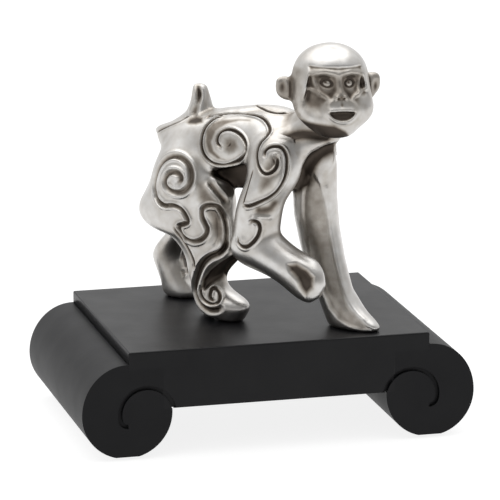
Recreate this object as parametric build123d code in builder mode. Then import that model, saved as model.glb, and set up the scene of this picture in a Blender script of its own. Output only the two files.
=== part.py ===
from build123d import *
import os
from math import cos, radians, sin, sqrt

os.makedirs("parts", exist_ok=True)

# A pewter monkey walking across a black plinth whose two ends roll under as scrolls.
# Millimetres, Z up, X along the plinth, front towards -Y, origin under the middle of the plinth.

# Plinth
BOARD_LENGTH = 104.0
BOARD_THICKNESS = 20.0
PLINTH_DEPTH = 85.0
STEP_HEIGHT = 4.1
BOARD_EDGE = 0.6
ROLL_RADIUS = 15.4
ROLL_DROP = 21.0
ROLL_OUT = 0.5
FOOT_FLAT = 8.0
REBATE_LENGTH = 12.0
REBATE_HEIGHT = 14.0
GROOVE_RADIUS = 9.5
GROOVE_INSET = 6.6
GROOVE_WIDTH = 1.5
GROOVE_DEPTH = 1.3
GROOVE_START = 12.0

# Fixings of the plinth
DOWEL_RADIUS = 4.0
DOWEL_LENGTH = 26.0
DOWEL_SPACING = 30.0
FELT_THICKNESS = 1.2
FELT_WIDTH = 7.0
FELT_LENGTH = 22.0
FELT_INSET = 9.0
SCREW_RADIUS = 2.0
SCREW_BITE = 7.0
SCREW_HEAD_RADIUS = 3.6
SCREW_HEAD_HEIGHT = 2.6
WASHER_RADIUS = 4.6
WASHER_THICKNESS = 0.9
COUNTERBORE_RADIUS = 5.2
COUNTERBORE_DEPTH = 6.0
FIT = 0.1

# Where the monkey stands on the board, which way it walks and where it looks
FIGURE_Y = -5.5
HEADING = 48.0
HEAD_TURN = 44.0

# Monkey, heights above the board
SPINE_HEIGHT = 59.0
BACK_SHARE = 0.7212
CHEST_HALF_HEIGHT = 14.6
CHEST_HALF_WIDTH = 14.0
NECK_RADIUS = 8.4
HEAD_FORWARD = 0.5
HEAD_HEIGHT = 30.0
HEAD_HALF_WIDTH = 13.0
HEAD_HALF_DEPTH = 13.0
EAR_SPREAD = 18.0
EAR_HALF_HEIGHT = 4.3
TAIL_LENGTH = 8.0
TAIL_HALF_WIDTH = 4.4
FOOT_HALF_LENGTH = 11.0
FOOT_HALF_WIDTH = 6.5
THIGH_HALF_DEPTH = 19.0
THIGH_HALF_WIDTH = 9.0
LEG_CLEARANCE = 0.2
ARM_RADIUS = 8.0
HAND_HALF_LENGTH = 10.6
HAND_HALF_WIDTH = 6.3
CURL_WIDTH = 1.6
CURL_DEPTH = 0.9
FLANK_CURL_RADIUS = 8.6
HIP_CURL_RADIUS = 8.8
SOLDER_GAP = 0.15
PEG_RADIUS = 2.4
PEG_LENGTH = 9.0

roll_axis = FELT_THICKNESS + sqrt(ROLL_RADIUS**2 - (FOOT_FLAT / 2) ** 2)
board_top = roll_axis + ROLL_DROP
board_under = board_top - BOARD_THICKNESS
roll_x = BOARD_LENGTH / 2 + ROLL_OUT
rebate_x = BOARD_LENGTH / 2 - REBATE_LENGTH
rebate_top = board_under + REBATE_HEIGHT
dowel_z = board_under + BOARD_THICKNESS * 0.4

# Places along the walk, from the middle of the back, and to the monkey's left; the back goes with the board
back_length = BOARD_LENGTH * BACK_SHARE
rump_at = -back_length * 0.5
tail_at = -back_length * 0.283
head_at = back_length * 0.411
right_foot_at = -back_length * 0.096
right_hip_at = -back_length * 0.27
left_foot_at = -back_length * 0.461
left_hip_at = -back_length * 0.308
left_hand_at = back_length * 0.507
left_shoulder_at = back_length * 0.277
right_leg_side = -THIGH_HALF_WIDTH - LEG_CLEARANCE
left_leg_side = THIGH_HALF_WIDTH * 0.967
right_arm_side = -CHEST_HALF_WIDTH * 1.02
left_arm_side = CHEST_HALF_WIDTH * 0.63
chin_height = SPINE_HEIGHT + CHEST_HALF_HEIGHT * 0.616

figure = Plane(
    origin=(0, FIGURE_Y, board_top),
    x_dir=(cos(radians(HEADING)), -sin(radians(HEADING)), 0),
    z_dir=(0, 0, 1),
)
face_dir = Vector(cos(radians(HEADING + HEAD_TURN)), -sin(radians(HEADING + HEAD_TURN)), 0)
skull = Plane(
    origin=figure.from_local_coords(Vector(head_at, 0, 0)) + face_dir * HEAD_FORWARD,
    x_dir=face_dir,
    z_dir=(0, 0, 1),
)


def across(base, along, side, height, pitch, yaw=0.0):
    """Plane across a limb at a point of the base plane, facing the pitch and yaw given in degrees."""
    ahead = Vector(
        cos(radians(pitch)) * cos(radians(yaw)), cos(radians(pitch)) * sin(radians(yaw)), sin(radians(pitch))
    )
    left = Vector(-sin(radians(yaw)), cos(radians(yaw)), 0)
    start = base.from_local_coords(Vector(along, side, height))
    return Plane(
        origin=start,
        x_dir=base.from_local_coords(left) - base.origin,
        z_dir=base.from_local_coords(ahead) - base.origin,
    )


def oval_body(base, stations, grow=0.0):
    """Smooth body through ovals: (along, side, height, pitch, half width, half depth), and a yaw if any."""
    with BuildPart() as body:
        for along, side, height, pitch, half_width, half_depth, *yaw in stations:
            with BuildSketch(across(base, along, side, height, pitch, *yaw)):
                Ellipse(half_width + grow, half_depth + grow)
        loft()
    return body.part


def peg(base, point, direction, radius, length):
    """Round peg from a point of the base plane, along a direction of that plane."""
    axis = base.from_local_coords(Vector(*direction)) - base.origin
    with BuildPart() as pin:
        with BuildSketch(Plane(origin=base.from_local_coords(Vector(*point)), z_dir=axis)):
            Circle(radius)
        extrude(amount=length)
    return pin.part


def spine(share, rise, pitch, width, height):
    """Station of the torso at a share of the back, raised and sized in shares of the chest."""
    return (
        rump_at + back_length * share,
        0,
        SPINE_HEIGHT + CHEST_HALF_HEIGHT * rise,
        pitch,
        CHEST_HALF_WIDTH * width,
        CHEST_HALF_HEIGHT * height,
    )


def upright(foot, hip, share, side, height, half_width, half_depth):
    """Level station of a standing limb, at a share of the way from its foot to its hip."""
    return (foot + (hip - foot) * share, side, SPINE_HEIGHT * height, 90, half_width, half_depth)


def right_leg_at(share, height, half_width, half_depth, inward=1.0):
    side = right_leg_side * inward
    return upright(right_foot_at, right_hip_at, share, side, height, half_width, half_depth)


def left_leg_at(share, height, half_width, half_depth, inward=1.0):
    side = left_leg_side * inward
    return upright(left_foot_at, left_hip_at, share, side, height, half_width, half_depth)


def left_arm_at(share, height, half_width, half_depth, inward=1.0):
    side = left_arm_side * inward
    return upright(left_hand_at, left_shoulder_at, share, side, height, half_width, half_depth)


def right_arm_at(along, height, pitch, width, depth, inward=1.0):
    return (
        back_length * along,
        right_arm_side * inward,
        SPINE_HEIGHT * height,
        pitch,
        ARM_RADIUS * width,
        ARM_RADIUS * depth,
    )


def head_station(ahead, height, width, depth):
    return (
        HEAD_HALF_DEPTH * ahead,
        0,
        chin_height + HEAD_HEIGHT * height,
        90,
        HEAD_HALF_WIDTH * width,
        HEAD_HALF_DEPTH * depth,
    )


# From the rump to the top of the neck
torso_stations = [
    spine(0, 0.1, 0, 0.19, 0.11),
    spine(0.07, -0.02, 0, 0.56, 0.37),
    spine(0.18, -0.13, 0, 0.84, 0.71),
    spine(0.34, -0.1, 0, 0.95, 0.92),
    spine(0.53, 0, 2, 1, 1),
    spine(0.7, 0.07, 10, 0.96, 0.96),
    spine(0.805, 0.29, 38, 0.82, 0.77),
    spine(0.868, 0.82, 64, NECK_RADIUS / CHEST_HALF_WIDTH, 1.06 * NECK_RADIUS / CHEST_HALF_HEIGHT),
    spine(0.89, 1.3, 74, 0.82 * NECK_RADIUS / CHEST_HALF_WIDTH, 0.88 * NECK_RADIUS / CHEST_HALF_HEIGHT),
]
torso_clear = oval_body(figure, torso_stations, SOLDER_GAP)

# Standing limbs, upwards from the sole
right_leg_stations = [
    right_leg_at(0, 0, FOOT_HALF_WIDTH * 0.92, FOOT_HALF_LENGTH * 0.9),
    right_leg_at(0, 0.05, FOOT_HALF_WIDTH, FOOT_HALF_LENGTH),
    right_leg_at(-0.03, 0.1, FOOT_HALF_WIDTH, FOOT_HALF_LENGTH * 1.03),
    right_leg_at(0.2, 0.152, FOOT_HALF_WIDTH * 0.97, FOOT_HALF_LENGTH * 0.8),
    right_leg_at(0.385, 0.22, FOOT_HALF_WIDTH * 0.97, FOOT_HALF_LENGTH * 0.63),
    right_leg_at(0.31, 0.305, THIGH_HALF_WIDTH * 0.75, THIGH_HALF_DEPTH * 0.43),
    right_leg_at(0.24, 0.395, THIGH_HALF_WIDTH * 0.83, THIGH_HALF_DEPTH * 0.61),
    right_leg_at(0.51, 0.476, THIGH_HALF_WIDTH * 0.93, THIGH_HALF_DEPTH * 0.75),
    right_leg_at(0.954, 0.548, THIGH_HALF_WIDTH, THIGH_HALF_DEPTH),
    right_leg_at(1.015, 0.611, THIGH_HALF_WIDTH, THIGH_HALF_DEPTH),
    right_leg_at(0.94, 0.692, THIGH_HALF_WIDTH, THIGH_HALF_DEPTH * 0.93),
    right_leg_at(0.92, 0.79, THIGH_HALF_WIDTH, THIGH_HALF_DEPTH * 0.78),
    right_leg_at(0.96, 0.88, THIGH_HALF_WIDTH * 0.8, THIGH_HALF_DEPTH * 0.58, 0.87),
    right_leg_at(1, 0.93, THIGH_HALF_WIDTH * 0.62, THIGH_HALF_DEPTH * 0.44, 0.78),
    right_leg_at(1.04, 0.98, THIGH_HALF_WIDTH * 0.4, THIGH_HALF_DEPTH * 0.28, 0.66),
]
left_leg_stations = [
    left_leg_at(0, 0, FOOT_HALF_WIDTH * 0.8, FOOT_HALF_LENGTH * 0.57),
    left_leg_at(-0.087, 0.061, FOOT_HALF_WIDTH * 0.85, FOOT_HALF_LENGTH * 0.63),
    left_leg_at(-0.348, 0.152, FOOT_HALF_WIDTH * 0.82, FOOT_HALF_LENGTH * 0.53),
    left_leg_at(-0.452, 0.27, THIGH_HALF_WIDTH * 0.66, THIGH_HALF_DEPTH * 0.33),
    left_leg_at(-0.02, 0.385, THIGH_HALF_WIDTH * 0.8, THIGH_HALF_DEPTH * 0.325),
    left_leg_at(0.27, 0.515, THIGH_HALF_WIDTH * 0.92, THIGH_HALF_DEPTH * 0.425),
    left_leg_at(0.6, 0.67, THIGH_HALF_WIDTH * 0.94, THIGH_HALF_DEPTH * 0.54),
    left_leg_at(0.84, 0.79, THIGH_HALF_WIDTH * 0.85, THIGH_HALF_DEPTH * 0.54, 0.94),
    left_leg_at(1.02, 0.9, THIGH_HALF_WIDTH * 0.7, THIGH_HALF_DEPTH * 0.46, 0.86),
    left_leg_at(1.17, 1.017, THIGH_HALF_WIDTH * 0.4, THIGH_HALF_DEPTH * 0.25, 0.75),
]
left_arm_stations = [
    left_arm_at(0, 0, HAND_HALF_WIDTH * 0.93, HAND_HALF_LENGTH * 0.97, 0.6),
    left_arm_at(0.047, 0.051, HAND_HALF_WIDTH, HAND_HALF_LENGTH, 0.62),
    left_arm_at(0.244, 0.108, HAND_HALF_WIDTH, HAND_HALF_LENGTH * 0.84, 0.67),
    left_arm_at(0.407, 0.178, ARM_RADIUS * 0.85, ARM_RADIUS, 0.75),
    left_arm_at(0.651, 0.295, ARM_RADIUS * 0.88, ARM_RADIUS * 0.98, 0.88),
    left_arm_at(0.849, 0.441, ARM_RADIUS * 0.93, ARM_RADIUS * 1.05),
    left_arm_at(0.965, 0.593, ARM_RADIUS, ARM_RADIUS * 1.02),
    left_arm_at(1, 0.78, ARM_RADIUS, ARM_RADIUS * 1.04),
    left_arm_at(0.977, 0.932, ARM_RADIUS, ARM_RADIUS * 1.06),
    left_arm_at(0.988, 1.05, ARM_RADIUS * 0.8, ARM_RADIUS * 0.8, 0.8),
]

# The raised arm, down to its elbow and on to its fingers
upper_arm_stations = [
    right_arm_at(0.25, 1.12, -90, 0.7, 0.75, 0.62),
    right_arm_at(0.23, 0.983, -90, 0.95, 1.02, 0.86),
    right_arm_at(0.2, 0.822, -90, 1, 1.02),
    right_arm_at(0.16, 0.678, -90, 0.98, 1),
    right_arm_at(0.147, 0.559, -90, 0.94, 0.98),
    right_arm_at(0.125, 0.458, -90, 0.8, 0.8),
    right_arm_at(0.12, 0.4, -90, 0.5, 0.5),
]
forearm_stations = [
    right_arm_at(0.061, 0.539, -32, 0.7, 0.6),
    right_arm_at(0.12, 0.508, -32, 0.92, 1),
    right_arm_at(0.221, 0.451, -32, 0.92, 0.92, 0.97),
    right_arm_at(0.309, 0.393, -32, 0.84, 0.84, 0.9),
    right_arm_at(0.395, 0.33, -32, 0.8, 0.92, 0.84),
    right_arm_at(0.447, 0.279, -32, 0.66, 0.78, 0.8),
    right_arm_at(0.48, 0.255, -32, 0.33, 0.42, 0.78),
]

# From the chin to the crown
head_stations = [
    head_station(0.56, 0, 0.3, 0.3),
    head_station(0.5, 0.04, 0.5, 0.5),
    head_station(0.35, 0.14, 0.78, 0.76),
    head_station(0.2, 0.29, 0.98, 0.94),
    head_station(0.06, 0.48, 1, 1),
    head_station(0, 0.68, 0.97, 0.97),
    head_station(0, 0.85, 0.8, 0.82),
    head_station(0, 0.955, 0.5, 0.5),
    head_station(0, 1, 0.18, 0.18),
]


def ear_stations(side):
    """Ear on the left, side 1, or on the right, side -1, from inside the skull outwards."""
    shares = [(-0.12, 0.5, 0.46, 0.6, 0.6), (-0.15, 0.78, 0.5, 0.57, 1), (-0.18, 0.93, 0.515, 0.48, 0.86)]
    shares.append((-0.19, 1, 0.53, 0.23, 0.5))
    return [
        (
            HEAD_HALF_DEPTH * ahead,
            side * EAR_SPREAD * out,
            chin_height + HEAD_HEIGHT * height,
            0,
            EAR_HALF_HEIGHT * thick,
            EAR_HALF_HEIGHT * tall,
            side * 90,
        )
        for ahead, out, height, thick, tall in shares
    ]


back_height = SPINE_HEIGHT + CHEST_HALF_HEIGHT * 0.78
tail_stations = [
    (tail_at, 0, back_height - TAIL_LENGTH, 90, TAIL_HALF_WIDTH * 1.1, TAIL_HALF_WIDTH * 1.5),
    (tail_at, 0, back_height - TAIL_LENGTH * 0.15, 90, TAIL_HALF_WIDTH, TAIL_HALF_WIDTH * 1.2),
    (tail_at, 0, back_height + TAIL_LENGTH * 0.5, 90, TAIL_HALF_WIDTH * 0.74, TAIL_HALF_WIDTH * 0.86),
    (tail_at, 0, back_height + TAIL_LENGTH, 90, TAIL_HALF_WIDTH * 0.46, TAIL_HALF_WIDTH * 0.6),
]

# Pegs on the limbs that seat in sockets of the torso: point, direction
hip_peg_height = SPINE_HEIGHT - CHEST_HALF_HEIGHT * 0.62
right_hip_peg = ((right_hip_at, right_leg_side * 1.35, hip_peg_height), (0, 1, 0))
left_hip_peg = ((left_hip_at, left_leg_side * 1.35, hip_peg_height), (0, -1, 0))
right_shoulder_peg = ((back_length * 0.22, right_arm_side * 1.05, SPINE_HEIGHT), (0, 1, 0))
left_shoulder_peg = ((left_shoulder_at, left_arm_side * 1.5, SPINE_HEIGHT), (0, -1, 0))
tail_peg = ((tail_at, 0, back_height), (0, 0, -1))
limb_pegs = [right_hip_peg, left_hip_peg, right_shoulder_peg, left_shoulder_peg, tail_peg]

# Spots on the board where a screw comes up into a foot or the planted hand
screw_spots = [
    (right_foot_at, right_leg_side),
    (left_foot_at, left_leg_side),
    (left_hand_at - HAND_HALF_LENGTH * 0.2, left_arm_side * 0.62),
]


def screw_points(height):
    """World points of the screws at a height over the ground."""
    return [figure.from_local_coords(Vector(along, side, height - board_top)) for along, side in screw_spots]


# Upright plane through the monkey's middle: X ahead, Y up, facing its right
flank = Plane(origin=figure.origin, x_dir=figure.x_dir, z_dir=-figure.y_dir)
middle_plane = Plane(origin=figure.origin, x_dir=figure.x_dir, z_dir=figure.y_dir)


def curl(along, height, radii, angle, turn):
    """Lines of a spiral of half circles, each tighter than the last, from an upper or lower end inwards."""
    towards = 1 if angle == 90 else -1
    for radius, tighter in zip(radii, [*radii[1:], 0]):
        CenterArc((along, height), radius, angle, turn)
        height -= towards * (radius - tighter)
        towards = -towards
        angle += turn


def above(share):
    return SPINE_HEIGHT + CHEST_HALF_HEIGHT * share


# Spiral on the flank, its line led on along the back to the shoulder
flank_height = above(0.25)
flank_at = -back_length * 0.04
with BuildPart() as flank_curl:
    with BuildSketch(flank):
        with BuildLine():
            curl(flank_at, flank_height, [FLANK_CURL_RADIUS * share for share in (1, 0.74, 0.4)], 90, 180)
            Spline(
                (flank_at, flank_height + FLANK_CURL_RADIUS),
                (back_length * 0.067, above(0.96)),
                (back_length * 0.167, above(0.89)),
                (back_length * 0.2, above(0.65)),
                (back_length * 0.153, above(0.31)),
            )
        trace(line_width=CURL_WIDTH)
    extrude(amount=2 * CHEST_HALF_WIDTH)
    add(oval_body(figure, torso_stations, -CURL_DEPTH), mode=Mode.SUBTRACT)
    mirror(about=middle_plane)

# The belly is drawn in under a sharp edge of the flanks
with BuildPart() as belly_hollow:
    with BuildSketch(flank.offset(CHEST_HALF_WIDTH * 0.43)):
        with BuildLine():
            Polyline(
                (-back_length * 0.152, above(-0.54)),
                (back_length * 0.085, above(-0.2)),
                (back_length * 0.13, above(-0.4)),
                (back_length * 0.13, above(-1.3)),
                (-back_length * 0.07, above(-1.3)),
                close=True,
            )
        make_face()
    extrude(amount=2 * CHEST_HALF_WIDTH)
    mirror(about=middle_plane)

# The chest is cut back under the neck on the side of the raised arm
with BuildPart() as chest_hollow:
    with BuildSketch(flank.offset(-CHEST_HALF_WIDTH * 0.036)):
        with BuildLine():
            Polyline(
                (back_length * 0.295, above(-0.57)),
                (back_length * 0.347, above(-0.04)),
                (back_length * 0.41, above(0.29)),
                (back_length * 0.53, above(0.43)),
                (back_length * 0.53, above(-1.2)),
                (back_length * 0.295, above(-1.2)),
                close=True,
            )
        make_face()
    extrude(amount=2 * CHEST_HALF_WIDTH)

with BuildPart() as torso:
    add(oval_body(figure, torso_stations))
    add(flank_curl.part, mode=Mode.SUBTRACT)
    add(belly_hollow.part, mode=Mode.SUBTRACT)
    add(chest_hollow.part, mode=Mode.SUBTRACT)
    for point, direction in limb_pegs:
        add(peg(figure, point, direction, PEG_RADIUS + FIT, PEG_LENGTH), mode=Mode.SUBTRACT)
torso.part.label = "torso"
export_step(torso.part, "parts/torso.step")


def leg_line(share, height):
    """Spot on the leg's outer side, ahead of the hip by a share of the thigh, its height in spines."""
    return (right_hip_at + THIGH_HALF_DEPTH * share, SPINE_HEIGHT * height)


# Spiral on the thigh, its line led on in waves down the leg to a hook on the foot
hip_curl_height = SPINE_HEIGHT * 0.807
with BuildPart() as hip_curl:
    with BuildSketch(flank.offset(-right_leg_side)):
        with BuildLine():
            radii = [HIP_CURL_RADIUS * share for share in (1, 0.72, 0.41, 0.23)]
            curl(right_hip_at, hip_curl_height, radii, 270, -180)
            Spline(
                (right_hip_at, hip_curl_height - HIP_CURL_RADIUS),
                leg_line(0.266, 0.602),
                leg_line(0.113, 0.542),
                leg_line(0.392, 0.468),
                leg_line(0.671, 0.537),
                leg_line(0.608, 0.669),
                leg_line(0.971, 0.685),
                leg_line(1.08, 0.49),
                leg_line(0.54, 0.341),
                leg_line(0.36, 0.173),
                leg_line(0.68, 0.068),
                leg_line(0.92, 0.092),
            )
        trace(line_width=CURL_WIDTH)
    extrude(amount=2 * THIGH_HALF_WIDTH)
    add(oval_body(figure, right_leg_stations, -CURL_DEPTH), mode=Mode.SUBTRACT)

with BuildPart() as right_leg:
    add(oval_body(figure, right_leg_stations))
    add(hip_curl.part, mode=Mode.SUBTRACT)
    add(torso_clear, mode=Mode.SUBTRACT)
    add(peg(figure, *right_hip_peg, PEG_RADIUS, PEG_LENGTH))
    with Locations(*screw_points(board_top)):
        Cylinder(SCREW_RADIUS + FIT, SCREW_BITE * 2, mode=Mode.SUBTRACT)
right_leg.part.label = "right_leg"
export_step(right_leg.part, "parts/right_leg.step")

with BuildPart() as left_leg:
    add(oval_body(figure, left_leg_stations))
    add(torso_clear, mode=Mode.SUBTRACT)
    add(peg(figure, *left_hip_peg, PEG_RADIUS, PEG_LENGTH))
    with Locations(*screw_points(board_top)):
        Cylinder(SCREW_RADIUS + FIT, SCREW_BITE * 2, mode=Mode.SUBTRACT)
left_leg.part.label = "left_leg"
export_step(left_leg.part, "parts/left_leg.step")

with BuildPart() as left_arm:
    add(oval_body(figure, left_arm_stations))
    add(torso_clear, mode=Mode.SUBTRACT)
    add(peg(figure, *left_shoulder_peg, PEG_RADIUS, PEG_LENGTH))
    with Locations(*screw_points(board_top)):
        Cylinder(SCREW_RADIUS + FIT, SCREW_BITE * 2, mode=Mode.SUBTRACT)
left_arm.part.label = "left_arm"
export_step(left_arm.part, "parts/left_arm.step")

with BuildPart() as right_arm:
    add(oval_body(figure, upper_arm_stations))
    add(oval_body(figure, forearm_stations))
    add(torso_clear, mode=Mode.SUBTRACT)
    add(peg(figure, *right_shoulder_peg, PEG_RADIUS, PEG_LENGTH))
right_arm.part.label = "right_arm"
export_step(right_arm.part, "parts/right_arm.step")

with BuildPart() as head:
    add(oval_body(skull, head_stations))
    for side in (1, -1):
        add(oval_body(skull, ear_stations(side)))
    add(torso_clear, mode=Mode.SUBTRACT)
head.part.label = "head"
export_step(head.part, "parts/head.step")

with BuildPart() as tail:
    add(oval_body(figure, tail_stations))
    add(torso_clear, mode=Mode.SUBTRACT)
    add(peg(figure, *tail_peg, PEG_RADIUS, PEG_LENGTH))
tail.part.label = "tail"
export_step(tail.part, "parts/tail.step")

# Spiral grooves in the front and back end faces of the left roll, ending in a small hook
with BuildPart() as left_grooves:
    for face in (-1, 1):
        with BuildSketch(Plane.XZ.offset(face * (PLINTH_DEPTH / 2 - GROOVE_DEPTH))):
            with BuildLine():
                radius = GROOVE_RADIUS
                centre = Vector(-roll_x + GROOVE_INSET, roll_axis - GROOVE_RADIUS * 0.1)
                angle = GROOVE_START
                for tighter, sweep in ((0.95, 85), (0.27, 95), (0, 80)):
                    CenterArc(centre, radius, angle, sweep)
                    angle += sweep
                    inward = Vector(cos(radians(angle)), sin(radians(angle)))
                    centre = centre + inward * (radius - GROOVE_RADIUS * tighter)
                    radius = GROOVE_RADIUS * tighter
            trace(line_width=GROOVE_WIDTH)
        extrude(amount=face * 2 * GROOVE_DEPTH)

with BuildPart() as right_grooves:
    mirror(left_grooves.part, about=Plane.YZ)

with BuildPart() as board:
    with BuildSketch(Plane.XY.offset(board_under)):
        Rectangle(BOARD_LENGTH, PLINTH_DEPTH)
    extrude(amount=BOARD_THICKNESS)
    fillet(board.edges().group_by(Axis.Z)[-1], BOARD_EDGE)
    for end in (-1, 1):
        with Locations((end * BOARD_LENGTH / 2, 0, board_under)):
            Box(
                2 * REBATE_LENGTH,
                PLINTH_DEPTH,
                2 * REBATE_HEIGHT,
                mode=Mode.SUBTRACT,
            )
        with Locations(*[(end * rebate_x, y * DOWEL_SPACING / 2, dowel_z) for y in (-1, 1)]):
            Cylinder(DOWEL_RADIUS + FIT, DOWEL_LENGTH, rotation=(0, 90, 0), mode=Mode.SUBTRACT)
    add(left_grooves.part, mode=Mode.SUBTRACT)
    add(right_grooves.part, mode=Mode.SUBTRACT)
    with Locations(*screw_points(board_under)):
        Cylinder(COUNTERBORE_RADIUS, 2 * COUNTERBORE_DEPTH, mode=Mode.SUBTRACT)
        Cylinder(SCREW_RADIUS + 2 * FIT, 3 * BOARD_THICKNESS, mode=Mode.SUBTRACT)
board.part.label = "board"
export_step(board.part, "parts/board.step")

# The roll is a half circle below its axis and a flatter quarter above it, up to the foot of the step
step_foot = ROLL_DROP - STEP_HEIGHT
with BuildPart() as left_scroll:
    with BuildSketch(Plane.XZ.offset(-PLINTH_DEPTH / 2)):
        with Locations((-roll_x, roll_axis)):
            Ellipse(ROLL_RADIUS, step_foot)
            Rectangle(3 * ROLL_RADIUS, 2 * step_foot, align=(Align.CENTER, Align.MAX), mode=Mode.SUBTRACT)
            Circle(ROLL_RADIUS)
        with Locations((-rebate_x, board_under)):
            Rectangle(REBATE_LENGTH, REBATE_HEIGHT, align=(Align.MAX, Align.MIN))
        with Locations((-roll_x, roll_axis - ROLL_RADIUS)):
            Rectangle(3 * ROLL_RADIUS, 2 * (FELT_THICKNESS - roll_axis + ROLL_RADIUS), mode=Mode.SUBTRACT)
        with Locations((0, board_under)):
            Rectangle(2 * rebate_x, BOARD_THICKNESS, align=(Align.CENTER, Align.MIN), mode=Mode.SUBTRACT)
        with Locations((0, rebate_top)):
            Rectangle(BOARD_LENGTH, BOARD_THICKNESS, align=(Align.CENTER, Align.MIN), mode=Mode.SUBTRACT)
    extrude(amount=PLINTH_DEPTH)
    add(left_grooves.part, mode=Mode.SUBTRACT)
    with Locations(*[(-rebate_x, y * DOWEL_SPACING / 2, dowel_z) for y in (-1, 1)]):
        Cylinder(DOWEL_RADIUS + FIT, DOWEL_LENGTH, rotation=(0, 90, 0), mode=Mode.SUBTRACT)
left_scroll.part.label = "left_scroll"
export_step(left_scroll.part, "parts/left_scroll.step")

with BuildPart() as right_scroll:
    mirror(left_scroll.part, about=Plane.YZ)
right_scroll.part.label = "right_scroll"
export_step(right_scroll.part, "parts/right_scroll.step")

with BuildPart() as scroll_dowels:
    for end in (-1, 1):
        with Locations(*[(end * rebate_x, y * DOWEL_SPACING / 2, dowel_z) for y in (-1, 1)]):
            Cylinder(DOWEL_RADIUS, DOWEL_LENGTH, rotation=(0, 90, 0))
scroll_dowels.part.label = "scroll_dowels"
export_step(scroll_dowels.part, "parts/scroll_dowels.step")

with BuildPart() as felt_pads:
    pad_y = PLINTH_DEPTH / 2 - FELT_INSET - FELT_LENGTH / 2
    with Locations(*[(x * roll_x, y * pad_y, FELT_THICKNESS / 2) for x in (-1, 1) for y in (-1, 1)]):
        Box(FELT_WIDTH, FELT_LENGTH, FELT_THICKNESS)
felt_pads.part.label = "felt_pads"
export_step(felt_pads.part, "parts/felt_pads.step")

washer_seat = board_under + COUNTERBORE_DEPTH
with BuildPart() as screw_washers:
    with Locations(*screw_points(washer_seat - WASHER_THICKNESS / 2)):
        Cylinder(WASHER_RADIUS, WASHER_THICKNESS)
        Cylinder(SCREW_RADIUS + 2 * FIT, WASHER_THICKNESS, mode=Mode.SUBTRACT)
screw_washers.part.label = "screw_washers"
export_step(screw_washers.part, "parts/screw_washers.step")

head_top = washer_seat - WASHER_THICKNESS
shank = board_top + SCREW_BITE * 0.93 - head_top
with BuildPart() as foot_screws:
    with Locations(*screw_points(head_top - SCREW_HEAD_HEIGHT / 2)):
        Cylinder(SCREW_HEAD_RADIUS, SCREW_HEAD_HEIGHT)
    with Locations(*screw_points(head_top + shank / 2)):
        Cylinder(SCREW_RADIUS, shank)
foot_screws.part.label = "foot_screws"
export_step(foot_screws.part, "parts/foot_screws.step")
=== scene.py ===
import math

import bmesh
import bpy
import numpy as np
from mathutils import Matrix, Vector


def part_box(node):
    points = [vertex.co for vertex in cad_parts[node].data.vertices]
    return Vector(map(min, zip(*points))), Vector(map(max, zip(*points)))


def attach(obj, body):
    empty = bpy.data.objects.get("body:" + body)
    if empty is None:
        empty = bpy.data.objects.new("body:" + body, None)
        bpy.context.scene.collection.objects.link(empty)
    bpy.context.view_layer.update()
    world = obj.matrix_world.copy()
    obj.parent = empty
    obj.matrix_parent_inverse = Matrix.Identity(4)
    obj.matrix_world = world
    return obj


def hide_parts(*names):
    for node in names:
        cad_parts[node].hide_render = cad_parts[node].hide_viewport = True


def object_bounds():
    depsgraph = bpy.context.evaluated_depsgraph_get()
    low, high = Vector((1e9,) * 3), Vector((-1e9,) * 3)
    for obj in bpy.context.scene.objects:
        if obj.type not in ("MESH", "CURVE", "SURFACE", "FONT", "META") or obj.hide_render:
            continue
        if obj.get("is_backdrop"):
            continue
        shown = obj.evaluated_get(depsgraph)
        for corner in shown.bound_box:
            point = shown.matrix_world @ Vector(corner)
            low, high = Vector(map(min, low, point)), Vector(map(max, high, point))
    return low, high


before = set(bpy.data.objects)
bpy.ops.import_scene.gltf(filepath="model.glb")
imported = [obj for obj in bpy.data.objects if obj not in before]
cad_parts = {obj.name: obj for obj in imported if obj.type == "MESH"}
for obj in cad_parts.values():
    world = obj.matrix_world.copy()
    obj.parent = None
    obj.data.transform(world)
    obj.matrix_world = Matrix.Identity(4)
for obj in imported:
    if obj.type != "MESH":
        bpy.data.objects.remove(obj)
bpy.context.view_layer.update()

import openvdb as vdb
from mathutils import Matrix, Vector
from mathutils.bvhtree import BVHTree

# Lengths are in millimetres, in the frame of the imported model. Outlines and strokes that are drawn in the
# main view are in 500ths of its width, from its top left.
MM = 0.001
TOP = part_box("board")[1][2] / MM
HEADING = math.radians(48.0)
HEAD_TURN = math.radians(44.0)
FIGURE = np.array([0.0, -5.5, TOP])
AHEAD = np.array([math.cos(HEADING), -math.sin(HEADING), 0.0])
LEFT = np.array([math.sin(HEADING), math.cos(HEADING), 0.0])
UP = np.array([0.0, 0.0, 1.0])
FACE = np.array([math.cos(HEADING + HEAD_TURN), -math.sin(HEADING + HEAD_TURN), 0.0])
CHEEK = np.array([-FACE[1], FACE[0], 0.0])
SKULL = FIGURE + 30.8 * AHEAD + 0.5 * FACE

# The camera, from the plinth's edges in the photograph
AZIMUTH, ELEVATION = math.radians(-14.79), math.radians(14.0)
BACK = np.array([
    math.sin(AZIMUTH) * math.cos(ELEVATION), -math.cos(AZIMUTH) * math.cos(ELEVATION), math.sin(ELEVATION)
])
RIGHT = np.array([math.cos(AZIMUTH), math.sin(AZIMUTH), 0.0])
RISE = np.cross(BACK, RIGHT)
AIM = np.array([0.73, 0.0, 21.5 + TOP])
DISTANCE = 1401.2
EYE = AIM + DISTANCE * BACK
FOCUS = 4098.0
PIXEL = DISTANCE / FOCUS


def picture(points):
    """Where points fall in the picture of the main view, in 500ths of its width from its top left."""
    seen = points - EYE
    depth = -(seen @ BACK)
    return np.stack([250 + FOCUS * (seen @ RIGHT) / depth, 250 - FOCUS * (seen @ RISE) / depth], axis=-1)


def walk(along, side, height):
    """World point from lengths along the monkey's walk, to its left, and above the board."""
    return FIGURE + along * AHEAD + side * LEFT + height * UP


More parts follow.
